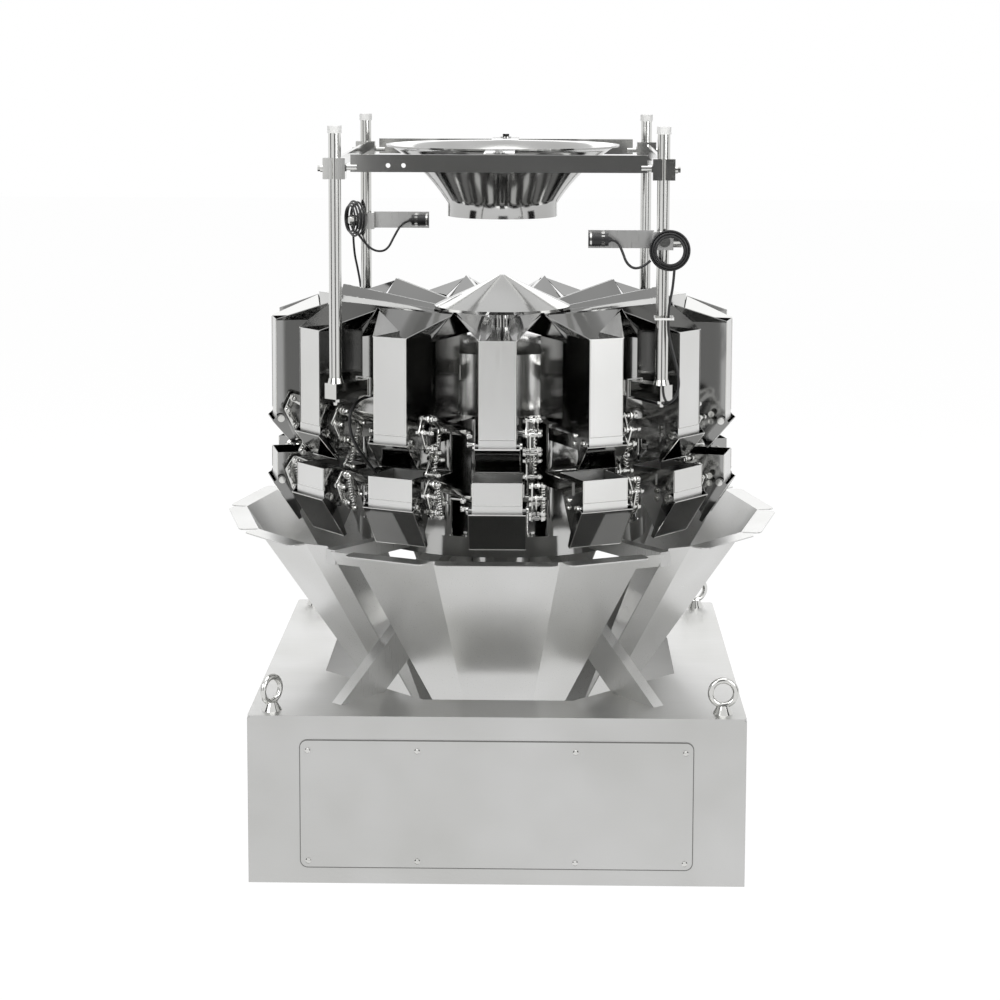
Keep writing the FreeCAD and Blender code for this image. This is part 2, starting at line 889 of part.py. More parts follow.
# ---- hoppers
def trim_outlet(body, hinge_height, tilt, depth):
    # Cuts the outlet back parallel to the closed gate, clear of its swing.
    edge = depth - thin_sheet - swing_gap
    trim = new_sketch(
        body, "outlet_trim", "YZ_Plane", across=-hinge_radius, up=hinge_height, turn=tilt
    )
    rectangle(trim, -(depth + 80), -edge, -(depth + 150), depth + 25)
    pocket(body, "outlet", trim, weigh_half_width * 3, both_ways=True)


def hopper_shell(body, half_width, side, inside):
    profile = new_sketch(body, "side_profile", "YZ_Plane")
    outline(profile, side)
    pad(body, "outer_block", profile, half_width * 2, both_ways=True)


def add_studs(body, half_width, hinge_height):
    studs = new_sketch(body, "stud_plan", "YZ_Plane")
    round_hole(studs, (-hinge_radius, hinge_height), stud_radius)
    reach = half_width + ear_gap + thin_sheet + stud_overhang
    pad(body, "hinge_studs", studs, reach * 2, both_ways=True)


def hollow(body, half_width, inside):
    profile = new_sketch(body, "inside_profile", "YZ_Plane")
    outline(profile, inside)
    pocket(body, "inside", profile, (half_width - thin_sheet) * 2, both_ways=True)


def slant_inset(run, drop):
    # How far a slanted wall moves level when its sheet thickness is taken off.
    return math.hypot(run, drop) / drop


feed_hoppers = new_body("feed_hoppers")
run = float(feed_outlet_back - hopper_back)
drop = float(feed_back_bend - feed_outlet_low)
spread = 1.25
back_lean = run / drop
level_sheet = thin_sheet * slant_inset(run, drop)
low_end = feed_outlet_low - 40
low_back = feed_outlet_back + 40 * back_lean
profile = new_sketch(feed_hoppers, "side_profile", "YZ_Plane")
outline(profile, [
    (-hopper_front, low_end),
    (-low_back, low_end),
    (-hopper_back, feed_back_bend),
    (-hopper_back, feed_top),
    (-hopper_front, feed_top),
])
pad(feed_hoppers, "outer_block", profile, feed_half_width * 2, both_ways=True)
trim_outlet(feed_hoppers, feed_hinge_height, feed_gate_tilt, feed_gate_depth)
add_studs(feed_hoppers, feed_half_width, feed_hinge_height)
hollow(feed_hoppers, feed_half_width, [
    (-(hopper_front - thin_sheet), low_end - 1),
    (-(low_back + back_lean + level_sheet), low_end - 1),
    (-(hopper_back + level_sheet), feed_back_bend),
    (-(hopper_back + level_sheet), feed_back_top),
    (-(hopper_back - 1), feed_back_top),
    (-(hopper_back - 1), feed_top + 1),
    (-(hopper_front - thin_sheet), feed_top + 1),
])


# Flared guide plates stand on the side walls under the pan edges.
def guide_section(name, radius, reach, top):
    section = new_sketch(feed_hoppers, name, "XZ_Plane", lift=radius)
    outline(section, [
        (feed_half_width - thin_sheet, feed_top - 2),
        (feed_half_width, feed_top - 2),
        (reach, top - 1.2),
        (reach - 0.8, top),
    ])
    return section


wide = guide_section("guide_back", hopper_back, wing_reach, wing_top)
narrow = guide_section("guide_front", hopper_front, feed_half_width + 1.5, feed_top + 1.2)
last = loft(feed_hoppers, "guide_plate", [wide, narrow])
last = mirror_sides(feed_hoppers, last)
repeat_round(feed_hoppers, last, head_count)
keep(feed_hoppers)

weigh_hoppers = new_body("weigh_hoppers")
run = float(weigh_outlet_back - hopper_back)
drop = float(weigh_back_bend - weigh_outlet_low)
back_lean = run / drop
level_sheet = thin_sheet * slant_inset(run, drop)
low_end = weigh_outlet_low - 25
low_back = weigh_outlet_back + 25 * back_lean
profile = new_sketch(weigh_hoppers, "side_profile", "YZ_Plane")
outline(profile, [
    (-hopper_front, low_end),
    (-low_back, low_end),
    (-hopper_back, weigh_back_bend),
    (-hopper_back, weigh_top),
    (-hopper_front, weigh_top),
])
pad(weigh_hoppers, "outer_block", profile, weigh_half_width * 2, both_ways=True)
trim_outlet(weigh_hoppers, weigh_hinge_height, weigh_gate_tilt, weigh_gate_depth)
add_studs(weigh_hoppers, weigh_half_width, weigh_hinge_height)
hollow(weigh_hoppers, weigh_half_width, [
    (-(hopper_front - thin_sheet), low_end - 1),
    (-(low_back + back_lean + level_sheet), low_end - 1),
    (-(hopper_back + level_sheet), weigh_back_bend),
    (-(hopper_back + level_sheet), weigh_top + 1),
    (-(hopper_front - thin_sheet), weigh_top + 1),
])
last = weigh_hoppers.Tip
repeat_round(weigh_hoppers, last, head_count)
keep(weigh_hoppers)

# ---- brackets that carry the hoppers from the drive units
hopper_brackets = new_body("hopper_brackets")
for name, half_width, arm, low in (
    ("feed_bracket", feed_half_width, feed_bracket_arm, feed_bracket_low),
    ("weigh_bracket", weigh_half_width, weigh_bracket_arm, weigh_bracket_low),
):
    yoke = new_sketch(hopper_brackets, name + "_plan", "XY_Plane", lift=low)
    outer = half_width + arm
    outline(yoke, [
        (-outer, -drive_outer),
        (-outer, -bracket_reach),
        (-half_width, -bracket_reach),
        (-half_width, -(drive_outer + bracket_plate)),
        (half_width, -(drive_outer + bracket_plate)),
        (half_width, -bracket_reach),
        (outer, -bracket_reach),
        (outer, -drive_outer),
    ])
    last = pad(hopper_brackets, name, yoke, bracket_height)
repeat_round(hopper_brackets, last, head_count)
keep(hopper_brackets)


# ---- gates: a slanted flap with two ears that turn on the hopper studs. The
# gate is drawn about its hinge, with the flap upright, and then tilted.
def gate_master(name, half_width, depth, above, below):
    body = new_body(name)
    inner_face = half_width + ear_gap
    outer_face = inner_face + thin_sheet
    side = new_sketch(body, "gate_side", "YZ_Plane")
    outline(side, [
        (-depth, -below),
        (-(depth - 7), -below),
        (boss_radius * 0.9, -boss_radius * 0.4),
        (boss_radius * 0.5, 0),
        (0, above),
        (-depth, above),
    ])
    pad(body, "gate_block", side, outer_face * 2, both_ways=True)
    boss = new_sketch(body, "boss_plan", "YZ_Plane")
    round_hole(boss, (0, 0), boss_radius)
    pad(body, "hinge_boss", boss, outer_face * 2, both_ways=True)
    inside = new_sketch(body, "gate_inside", "YZ_Plane")
    rectangle(inside, -(depth - thin_sheet), boss_radius * 3, -(below + 5), above + boss_radius * 2)
    pocket(body, "between_ears", inside, inner_face * 2, both_ways=True)
    pin = new_sketch(body, "pin_plan", "YZ_Plane")
    round_hole(pin, (0, 0), stud_radius + pin_play)
    pocket(body, "pin_holes", pin, outer_face * 2 + 4, both_ways=True)
    return body


def gate_set(label, master, hinge_height, tilt):
    lean = Rotation(Vector(1, 0, 0), float(tilt))
    for number in range(round(float(head_count))):
        turned = Rotation(Vector(0, 0, 1), number * head_step)
        hinge = turned.multVec(Vector(0, -float(hinge_radius), float(hinge_height)))
        placement = Placement(hinge, turned.multiply(lean))
        keep(placed_copy("%s_%02d" % (label, number + 1), master, placement))


feed_gate = gate_master(
    "feed_gate_master", feed_half_width, feed_gate_depth, feed_gate_above, feed_gate_below
)
gate_set("feed_gate", feed_gate, feed_hinge_height, feed_gate_tilt)
weigh_gate = gate_master(
    "weigh_gate_master", weigh_half_width, weigh_gate_depth, weigh_gate_above, weigh_gate_below
)
gate_set("weigh_gate", weigh_gate, weigh_hinge_height, weigh_gate_tilt)

# ---- top frame
arm = new_body("arm_master")
arm_side = new_sketch(arm, "arm_side", "YZ_Plane")
rectangle(arm_side, -arm_reach, -(drum_radius + touch_gap), arm_low, arm_low + arm_width)
pad(arm, "square_tube", arm_side, arm_width, both_ways=True)
keep(turned_copies("frame_arms", arm, split_angles))

corner_signs = ((-1, -1), (1, -1), (1, 1), (-1, 1))
post_list = []
cap_list = []
clamp_list = []
for number, (side_x, side_y) in enumerate(corner_signs):
    place = (post_x * side_x, post_y * side_y)
    post_foot = arm_low + arm_width
    post_list.append(rod(
        "post_%d" % number, post_radius, post_top - post_foot, place + (post_foot,)
    ))
    cap_list.append(rod("cap_%d" % number, cap_radius, cap_height, place + (post_top,)))
    block = box(
        "clamp_block_%d" % number,
        (place[0] - clamp_width / 2, place[1] - clamp_depth / 2, clamp_low),
        (clamp_width, clamp_depth, clamp_high - clamp_low),
    )
    bore = rod(
        "clamp_bore_%d" % number,
        post_radius + touch_gap,
        clamp_high - clamp_low + 2,
        place + (clamp_low - 1,),
    )
    slot_low = place[1] + clamp_depth / 2 * side_y - (clamp_depth / 2 if side_y > 0 else 0)
    slot = box(
        "clamp_slot_%d" % number,
        (place[0] - clamp_slot / 2, slot_low, clamp_low - 1),
        (clamp_slot, clamp_depth / 2, clamp_high - clamp_low + 2),
    )
    clamp_list.append(cut_away("clamp_%d" % number, block, fused("clamp_tool_%d" % number, [bore, slot])))
keep(gathered("posts", post_list))
keep(gathered("post_caps", cap_list))
keep(gathered("post_clamps", clamp_list))

# Level bars between the clamps carry the funnel.
bar_list = []
bar_drop = front_bar_high - front_bar_low
for side_y, name in ((-1, "front_bar"), (1, "back_bar")):
    flat = box(
        name + "_flat",
        (-bar_half_length, post_y * side_y - bar_thickness / 2, front_bar_low),
        (bar_half_length * 2, bar_thickness, bar_drop),
    )
    if side_y < 0:
        holes = []
        for place_x in (bar_hole_outer, bar_hole_inner):
            holes.append(rod(
                name + "_hole",
                bar_hole_radius,
                bar_thickness * 3,
                (-place_x, -(post_y - bar_thickness * 1.5), bar_hole_height),
                (1, 0, 0),
                90,
            ))
        flat = cut_away(name + "_drilled", flat, fused(name + "_holes", holes))
    stub_half = post_x - clamp_width / 2
    stub_height = (clamp_low + clamp_high) / 2
    stub = rod(
        name + "_stub",
        bar_stub_radius,
        stub_half * 2,
        (-stub_half, post_y * side_y, stub_height + 2),
        (0, 1, 0),
        90,
    )
    middle = box(
        name + "_middle",
        (-(bar_half_length - 12), post_y * side_y - 20, front_bar_low - 20),
        ((bar_half_length - 12) * 2, 40, bar_drop + 40),
    )
    ends = cut_away(name + "_stub_ends", stub, middle)
    bar_list.append(fused(name, [flat, ends]))
for side_x, name in ((-1, "left_bar"), (1, "right_bar")):
    bar_list.append(box(
        name,
        (post_x * side_x - bar_thickness / 2, -(post_y - clamp_depth / 2), side_bar_low),
        (bar_thickness, (post_y - clamp_depth / 2) * 2, side_bar_high - side_bar_low),
    ))
keep(gathered("top_bars", bar_list))

# ---- infeed funnel with a tab to the front and the back bar
infeed_funnel = new_body("infeed_funnel")
profile = new_sketch(infeed_funnel, "funnel_profile", "XZ_Plane")
wall_level = thin_sheet * 1.5
outline(profile, [
    (funnel_neck_radius, funnel_bottom),
    (funnel_neck_radius, funnel_neck_top),
    (funnel_waist_radius, funnel_waist_height),
    (funnel_mouth_radius, funnel_mouth_height),
    (funnel_rim_radius, funnel_rim_height - thin_sheet),
    (funnel_rim_radius, funnel_rim_height),
    (funnel_mouth_radius - wall_level, funnel_mouth_height + 2),
    (funnel_waist_radius - wall_level, funnel_waist_height + 1),
    (funnel_neck_radius - wall_level, funnel_neck_top + 1),
    (funnel_neck_radius - wall_level, funnel_bottom),
])
spin(infeed_funnel, "spun_funnel", profile)
tabs = new_sketch(infeed_funnel, "tab_plan", "XY_Plane", lift=front_bar_high)
tab_start = funnel_mouth_radius + 2
rectangle(tabs, -funnel_tab_half, funnel_tab_half, -(post_y + bar_thickness / 2), -tab_start)
pad(infeed_funnel, "front_tab", tabs, funnel_tab_thickness)
tabs = new_sketch(infeed_funnel, "back_tab_plan", "XY_Plane", lift=front_bar_high)
rectangle(tabs, -funnel_tab_half, funnel_tab_half, tab_start, post_y + bar_thickness / 2)
pad(infeed_funnel, "back_tab", tabs, funnel_tab_thickness)
keep(infeed_funnel)

# ---- level sensors on the front right and the back left post
arm_list = []
sensor_list = []
for name, side_x, side_y, inner, low, high in (
    ("right", 1, -1, right_arm_inner, right_arm_low, right_arm_high),
    ("left", -1, 1, left_arm_inner, left_arm_low, left_arm_high),
):
    arm_end = post_x - sensor_clamp_width / 2
    length = arm_end - inner + 2
    start = inner if side_x > 0 else -(inner + length)
    front_face = post_y * side_y
    upright = box(
        name + "_arm_plate",
        (start, front_face, low),
        (length, sensor_arm_plate, high - low),
    )
    block = box(
        name + "_arm_clamp",
        (post_x * side_x - sensor_clamp_width / 2, front_face - sensor_clamp_width / 2, low - 2),
        (sensor_clamp_width, sensor_clamp_width, high - low),
    )
    bore = rod(
        name + "_arm_bore",
        post_radius + touch_gap,
        high - low + 8,
        (post_x * side_x, post_y * side_y, low - 6),
    )
    whole = fused(name + "_arm_whole", [upright, block])
    arm_list.append(cut_away(name + "_sensor_arm", whole, bore))
    sensor_start = inner if side_x > 0 else -(inner + sensor_length)
    sensor_list.append(rod(
        name + "_sensor",
        sensor_radius,
        sensor_length,
        (sensor_start, front_face - sensor_radius - touch_gap, (low + high) / 2),
        (0, 1, 0),
        90,
    ))
keep(gathered("sensor_arms", arm_list))
keep(gathered("level_sensors", sensor_list))

# ---- checks and files
doc.recompute()
problems = []
for thing in doc.Objects:
    if "Invalid" in thing.State or "Error" in thing.State:
        problems.append("%s is %s" % (thing.Label, thing.State))
for thing in nodes:
    if thing.Shape.isNull() or not thing.Shape.isValid():
        problems.append("%s has no valid shape" % thing.Label)
    elif len(thing.Shape.Solids) == 0:
        problems.append("%s has no solid" % thing.Label)
if problems:
    raise ValueError("; ".join(problems))
os.makedirs("parts", exist_ok=True)
for thing in nodes:
    thing.Shape.exportStep(os.path.join("parts", thing.Label + ".step"))
    print(thing.Label, len(thing.Shape.Solids), "solids, volume %.0f" % thing.Shape.Volume)
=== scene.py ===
import math

import bmesh
import bpy
from mathutils import Matrix, Vector


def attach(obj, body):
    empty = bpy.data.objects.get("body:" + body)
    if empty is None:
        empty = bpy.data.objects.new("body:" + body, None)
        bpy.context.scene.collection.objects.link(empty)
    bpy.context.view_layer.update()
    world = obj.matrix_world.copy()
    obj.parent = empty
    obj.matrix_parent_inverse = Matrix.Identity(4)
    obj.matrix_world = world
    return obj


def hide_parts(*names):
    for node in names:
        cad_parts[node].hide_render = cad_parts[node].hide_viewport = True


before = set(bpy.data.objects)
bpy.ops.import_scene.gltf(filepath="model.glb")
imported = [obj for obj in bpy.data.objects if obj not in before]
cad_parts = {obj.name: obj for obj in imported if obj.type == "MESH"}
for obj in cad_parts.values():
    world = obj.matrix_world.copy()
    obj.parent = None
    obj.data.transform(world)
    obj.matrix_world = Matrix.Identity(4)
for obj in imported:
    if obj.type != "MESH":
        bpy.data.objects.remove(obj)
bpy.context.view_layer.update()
scene = bpy.context.scene
scene.view_settings.view_transform = "Standard"

headCount = 14
headStep = 2 * math.pi / headCount

# ---- camera
view = {
    "place": (0.0876, -4.839, 1.596),
    "pitchDown": 6.818,
    "yawLeft": 1.111,
    "roll": -0.166,
    "lens": 84.98,
    "shiftY": -0.172,
}
cameraData = bpy.data.cameras.new("camera")
cameraData.lens = view["lens"]
cameraData.sensor_width = 36
cameraData.shift_y = view["shiftY"]
camera = bpy.data.objects.new("camera", cameraData)
scene.collection.objects.link(camera)
camera.location = view["place"]
camera.rotation_euler = (
    math.radians(90 - view["pitchDown"]),
    math.radians(view["roll"]),
    math.radians(view["yawLeft"]),
)
scene.camera = camera
print("camera placed")


# ---- materials
def linear(hexColour, alpha=1.0):
    # sRGB hex to the linear values that the shader wants
    values = []
    for place in (0, 2, 4):
        channel = int(hexColour[place:place + 2], 16) / 255
        if channel <= 0.04045:
            values.append(channel / 12.92)
        else:
            values.append(((channel + 0.055) / 1.055) ** 2.4)
    return (values[0], values[1], values[2], alpha)


def addNode(tree, kind, settings=None, links=None):
    node = tree.nodes.new(kind)
    for key, value in (settings or {}).items():
        if isinstance(key, int) or key in node.inputs:
            node.inputs[key].default_value = value
        else:
            setattr(node, key, value)
    for key, source in (links or {}).items():
        tree.links.new(source, node.inputs[key])
    return node


def steelMaterial(name, colour, darker, roughness, spread, grainMm, grainAxis, bump, inner=None):
    # Stainless sheet: a long grain along one axis changes gloss and height a little.
    # With inner given, only faces that look straight out from the axis have the roughness; the other faces
    # take the inner roughness and the darker inner colour, which is painted shade.
    material = bpy.data.materials.new(name)
    material.use_nodes = True
    tree = material.node_tree
    tree.nodes.clear()
    output = addNode(tree, "ShaderNodeOutputMaterial")
    shader = addNode(tree, "ShaderNodeBsdfPrincipled", {"Metallic": 1.0})
    tree.links.new(shader.outputs["BSDF"], output.inputs["Surface"])
    coords = addNode(tree, "ShaderNodeTexCoord")
    across = 1000 / grainMm
    stretch = [across, across, across]
    if grainAxis is not None:
        stretch[grainAxis] = across / 40
    mapping = addNode(
        tree, "ShaderNodeMapping", {"Scale": tuple(stretch)}, {"Vector": coords.outputs["Object"]}
    )
    grain = addNode(
        tree, "ShaderNodeTexNoise", {"Scale": 1.0, "Detail": 3.0}, {"Vector": mapping.outputs["Vector"]}
    )
    cloud = addNode(
        tree, "ShaderNodeTexNoise", {"Scale": 5.0, "Detail": 2.0}, {"Vector": coords.outputs["Object"]}
    )
    gloss = addNode(
        tree,
        "ShaderNodeMapRange",
        {"From Min": 0.3, "From Max": 0.7, "To Min": roughness - spread, "To Max": roughness + spread},
        {"Value": grain.outputs["Fac"]},
    )
    tint = addNode(
        tree,
        "ShaderNodeValToRGB",
        {},
        {"Fac": cloud.outputs["Fac"]},
    )
    tint.color_ramp.elements[0].position = 0.3
    tint.color_ramp.elements[0].color = linear(darker)
    tint.color_ramp.elements[1].position = 0.7
    tint.color_ramp.elements[1].color = linear(colour)
    if inner is None:
        tree.links.new(gloss.outputs["Result"], shader.inputs["Roughness"])
        tree.links.new(tint.outputs["Color"], shader.inputs["Base Color"])
    else:
        flat = addNode(
            tree, "ShaderNodeVectorMath", {"operation": "MULTIPLY"}, {0: coords.outputs["Object"]}
        )
        flat.inputs[1].default_value = (1, 1, 0)
        outward = addNode(
            tree, "ShaderNodeVectorMath", {"operation": "NORMALIZE"}, {0: flat.outputs["Vector"]}
        )
        facing = addNode(
            tree,
            "ShaderNodeVectorMath",
            {"operation": "DOT_PRODUCT"},
            {0: outward.outputs["Vector"], 1: coords.outputs["Normal"]},
        )
        front = addNode(
            tree, "ShaderNodeMath", {"operation": "GREATER_THAN", 1: 0.96}, {0: facing.outputs["Value"]}
        )
        rough = addNode(
            tree,
            "ShaderNodeMapRange",
            {"To Min": inner["roughness"]},
            {"Value": front.outputs["Value"], "To Max": gloss.outputs["Result"]},
        )
        tree.links.new(rough.outputs["Result"], shader.inputs["Roughness"])
        # faces that do not look straight out get the darker inner colour: painted shade
        shade = addNode(tree, "ShaderNodeMixRGB", {"Color1": linear(inner["colour"])})
        tree.links.new(front.outputs["Value"], shade.inputs["Fac"])
        tree.links.new(tint.outputs["Color"], shade.inputs["Color2"])
        tree.links.new(shade.outputs["Color"], shader.inputs["Base Color"])
    relief = addNode(
        tree,
        "ShaderNodeBump",
        {"Strength": bump, "Distance": 0.0004},
        {"Height": grain.outputs["Fac"]},
    )
    tree.links.new(relief.outputs["Normal"], shader.inputs["Normal"])
    return material


# Satin 304 sheet of the base: fine level grain, soft wide reflections
satinSheet = steelMaterial("satin stainless sheet", "c9c9c8", "bfbfbd", 0.36, 0.04, 1.6, 0, 0.03)
# Hopper sheet: brushed and even outside, mirror finished inside and on the flanks; the inside and the
# flanks are also painted darker as painted shade
hopperSheet = steelMaterial(
    "brushed stainless hopper sheet",
    "dededd",
    "d6d6d4",
    0.36,
    0.03,
    1.2,
    2,
    0.01,
    # darker inner colour: painted shade on the inside and the flanks
    inner={"roughness": 0.11, "colour": "9d9d9c"},
)
# Chute panels: brushed along the slope
chuteSheet = steelMaterial("brushed stainless chute sheet", "d2d2d1", "c8c8c6", 0.3, 0.03, 1.4, 2, 0.012)
# Polished pans, cone and funnel: near mirror with faint rolling marks
polishedSheet = steelMaterial("polished stainless sheet", "bdbdbc", "a8a8a6", 0.11, 0.02, 2.0, 2, 0.01)
# Gates and pans: buffed to a mirror; their base colour is set dark as a painted reflection of the dark
# between the pieces
paintedDarkMirrorSheet = steelMaterial("mirror stainless sheet painted dark", "8c8c8b", "7e7e7d", 0.07, 0.01, 2.0, 2, 0.004)
# Turned drum cover: level satin turning marks
drumSheet = steelMaterial("satin stainless drum", "dadad8", "c9c9c7", 0.2, 0.05, 2.4, 2, 0.02)
# Bright drawn tube and machined hardware
brightSteel = steelMaterial("bright drawn stainless", "d6d6d4", "cbcbc8", 0.10, 0.02, 1.5, 2, 0.01)


def plasticMaterial(name, colour, roughness, grainMm, bump):
    material = bpy.data.materials.new(name)
    material.use_nodes = True
    tree = material.node_tree
    tree.nodes.clear()
    output = addNode(tree, "ShaderNodeOutputMaterial")
    shader = addNode(
        tree, "ShaderNodeBsdfPrincipled", {"Base Color": linear(colour), "Roughness": roughness, "IOR": 1.5}
    )
    tree.links.new(shader.outputs["BSDF"], output.inputs["Surface"])
    coords = addNode(tree, "ShaderNodeTexCoord")
    grain = addNode(
        tree,
        "ShaderNodeTexNoise",
        {"Scale": 1000 / grainMm, "Detail": 2.0},
        {"Vector": coords.outputs["Object"]},
    )
    relief = addNode(
        tree,
        "ShaderNodeBump",
        {"Strength": bump, "Distance": 0.0002},
        {"Height": grain.outputs["Fac"]},
    )
    tree.links.new(relief.outputs["Normal"], shader.inputs["Normal"])
    return material


# mid-grey ring round the service covers: painted shadow of the gap at their edges
gapShadowGrey = plasticMaterial("grey painted gap shadow", "6e6e6c", 0.6, 1.0, 0.1)
whiteCap = plasticMaterial("white polyethylene cap", "f2f2f0", 0.45, 1.0, 0.1)
blackMoulded = plasticMaterial("black moulded ABS", "1b1b1c", 0.4, 1.0, 0.15)
blackSheath = plasticMaterial("black PVC cable sheath", "161617", 0.35, 1.2, 0.1)


def dress(material, *names):
    for name in names:
        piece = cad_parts[name]
        piece.data.materials.clear()
        piece.data.materials.append(material)


nodeMaterials = {
    satinSheet: ["base_top", "base_walls", "service_covers"],
    hopperSheet: ["feed_hoppers", "weigh_hoppers"],
    chuteSheet: [
        "discharge_chute_front",
        "discharge_chute_right",
        "discharge_chute_back",
        "discharge_chute_left",
        "support_struts",
        "sensor_arms",
    ],
    polishedSheet: [
        "central_body",
        "drive_units",
        "dispersion_cone",
        "hopper_brackets",
        "infeed_funnel",
    ],
    drumSheet: ["vibrator_drum"],
    paintedDarkMirrorSheet: ["feeder_pans"],
    brightSteel: ["eye_bolts", "frame_arms", "posts", "post_clamps", "top_bars"],
    whiteCap: ["post_caps"],
    blackMoulded: ["level_sensors"],
}
for number in range(1, headCount + 1):
    for kind in ("feed", "weigh"):
        # the gates take the darkened mirror sheet: its dark colour is a painted reflection
        nodeMaterials[paintedDarkMirrorSheet].append("%s_gate_%02d" % (kind, number))
for material, names in nodeMaterials.items():
    dress(material, *names)
print("materials set")

# ---- building helpers, in millimetres of the frame
mm = 0.001


def point(x, y, z):
    return Vector((x * mm, y * mm, z * mm))


def headMatrix(head):
    # Turns a piece drawn for the front head to another head.
    return Matrix.Rotation(head * headStep, 4, "Z")


def addRod(shape, start, end, radius, sides=14, tip=None):
    # A rod between two points; six sides make a nut.
    along = end - start
    turn = along.to_track_quat("Z", "Y").to_matrix().to_4x4()
    bmesh.ops.create_cone(
        shape,
        cap_ends=True,
        segments=sides,
        radius1=radius * mm,
        radius2=(radius if tip is None else tip) * mm,
        depth=along.length,
        matrix=Matrix.Translation((start + end) / 2) @ turn,
    )


def addPlate(shape, corners, low, high, soft=0.0):
    # A plate drawn in the side view as (radius, height), between two places across.
    verts = [shape.verts.new(point(low, -r, z)) for r, z in corners]
    face = shape.faces.new(verts)
    made = bmesh.ops.extrude_face_region(shape, geom=[face])
    moved = [item for item in made["geom"] if isinstance(item, bmesh.types.BMVert)]
    bmesh.ops.translate(shape, vec=point(high - low, 0, 0), verts=moved)
    if soft:
        edges = set()
        for vert in verts + moved:
            edges.update(vert.link_edges)
        bmesh.ops.bevel(
            shape,
            geom=list(edges),
            offset=soft * mm,
            segments=2,
            profile=0.5,
            affect="EDGES",
            material=-1,
        )


def linkCorners(first, second, half):
    # Outline of a link bar with cut ends round two pins.
    along = Vector((second[0] - first[0], second[1] - first[1])).normalized()
    side = Vector((-along.y, along.x))
    corners = []
    for pin, forward in ((Vector(first), -1), (Vector(second), 1)):
        for reach, off in ((0.35, -1), (1, -0.4), (1, 0.4), (0.35, 1)):
            corners.append(pin + along * half * reach * forward + side * half * off * forward)
    return [(corner.x, corner.y) for corner in corners]


def meshPiece(name, shape, material, smooth=35, body="frame"):
    bmesh.ops.recalc_face_normals(shape, faces=shape.faces)
    mesh = bpy.data.meshes.new(name)
    shape.to_mesh(mesh)
    shape.free()
    for polygon in mesh.polygons:
        polygon.use_smooth = True
    mesh.set_sharp_from_angle(angle=math.radians(smooth))
    mesh.materials.append(material)
    piece = bpy.data.objects.new(name, mesh)
    scene.collection.objects.link(piece)
    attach(piece, body)
    return piece


def copyInto(shape, template, matrix):
    before = len(shape.verts)
    shape.from_mesh(template)
    shape.verts.ensure_lookup_table()
    bmesh.ops.transform(shape, matrix=matrix, verts=shape.verts[before:])


def templateMesh(shape):
    bmesh.ops.recalc_face_normals(shape, faces=shape.faces)
    mesh = bpy.data.meshes.new("template")
    shape.to_mesh(mesh)
    shape.free()
    return mesh


# ---- link gear beside each hopper: pins with nuts, link bars and a crank arm
linkGear = {
    "feed": {
        "inner": 47.5,
        "outer": 82,
        "pins": [(452, 869), (440, 894), (437, 838), (421, 828), (408, 812), (424, 784), (400, 868)],
        "bars": [(0, 1, 53), (0, 2, 60), (2, 3, 74), (3, 4, 60), (4, 5, 53), (1, 6, 74), (6, 4, 67)],
        "crank": (288, 846),
        "crankTip": 1,
        "crankPlace": 66,
    },
    "weigh": {
        "inner": 59.5,
        "outer": 90,
        "pins": [(452, 748), (438, 769), (441, 716), (426, 705), (412, 730)],
        "bars": [(0, 1, 64), (0, 2, 72), (2, 3, 83), (1, 4, 83), (4, 3, 64)],
        "crank": (288, 716),
        "crankTip": 1,
        "crankPlace": 76,
    },
}
linkSize = {"pin": 3.1, "washer": 6.2, "nut": 5.2, "bar": 6.5, "barThick": 3, "shaft": 8}


def addPin(shape, radius, height, inner, outer, thick):
    # A cross pin with a nut and washers at both ends and a spacer between.
    place = [point(x, -radius, height) for x in (inner, outer)]
    across = (place[1] - place[0]).normalized() * mm
    addRod(shape, place[0], place[1], thick)
    for end, way in ((place[0], 1), (place[1], -1)):
        addRod(shape, end, end + across * way * 4.5, linkSize["nut"], 6)
        addRod(shape, end + across * way * 4.6, end + across * way * 5.8, linkSize["washer"])
    middle = (place[0] + place[1]) / 2
    addRod(shape, middle - across * 4, middle + across * 4, linkSize["nut"] - 0.4)
    addRod(shape, place[1], place[1] + across * 2.5, thick + 0.6, 14, thick - 1)


def linkTemplate(facts):
    shape = bmesh.new()
    for radius, height in facts["pins"]:
        addPin(shape, radius, height, facts["inner"], facts["outer"], linkSize["pin"])
    for first, second, place in facts["bars"]:
        corners = linkCorners(facts["pins"][first], facts["pins"][second], linkSize["bar"])
        addPlate(shape, corners, place, place + linkSize["barThick"], 0.5)
    shaft = facts["crank"]
    place = facts["crankPlace"]
    corners = linkCorners(shaft, facts["pins"][facts["crankTip"]], linkSize["bar"] * 1.25)
    addPlate(shape, corners, place, place + linkSize["barThick"] + 1, 0.6)
    start, hub, end = [point(x, -shaft[0], shaft[1]) for x in (38, place + 8, place + 13)]
    addRod(shape, start, hub, linkSize["shaft"], 20)
    addRod(shape, hub, end, 6, 6)
    return templateMesh(shape)


for kind, facts in linkGear.items():
    template = linkTemplate(facts)
    shape = bmesh.new()
    for head in range(headCount):
        copyInto(shape, template, headMatrix(head))
    meshPiece(kind + "LinkGear", shape, brightSteel)
print("link gear made")

# ---- springs that pull the links back
springs = {"coilRadius": 4.6, "wire": 0.9, "turns": 11, "steps": 12}


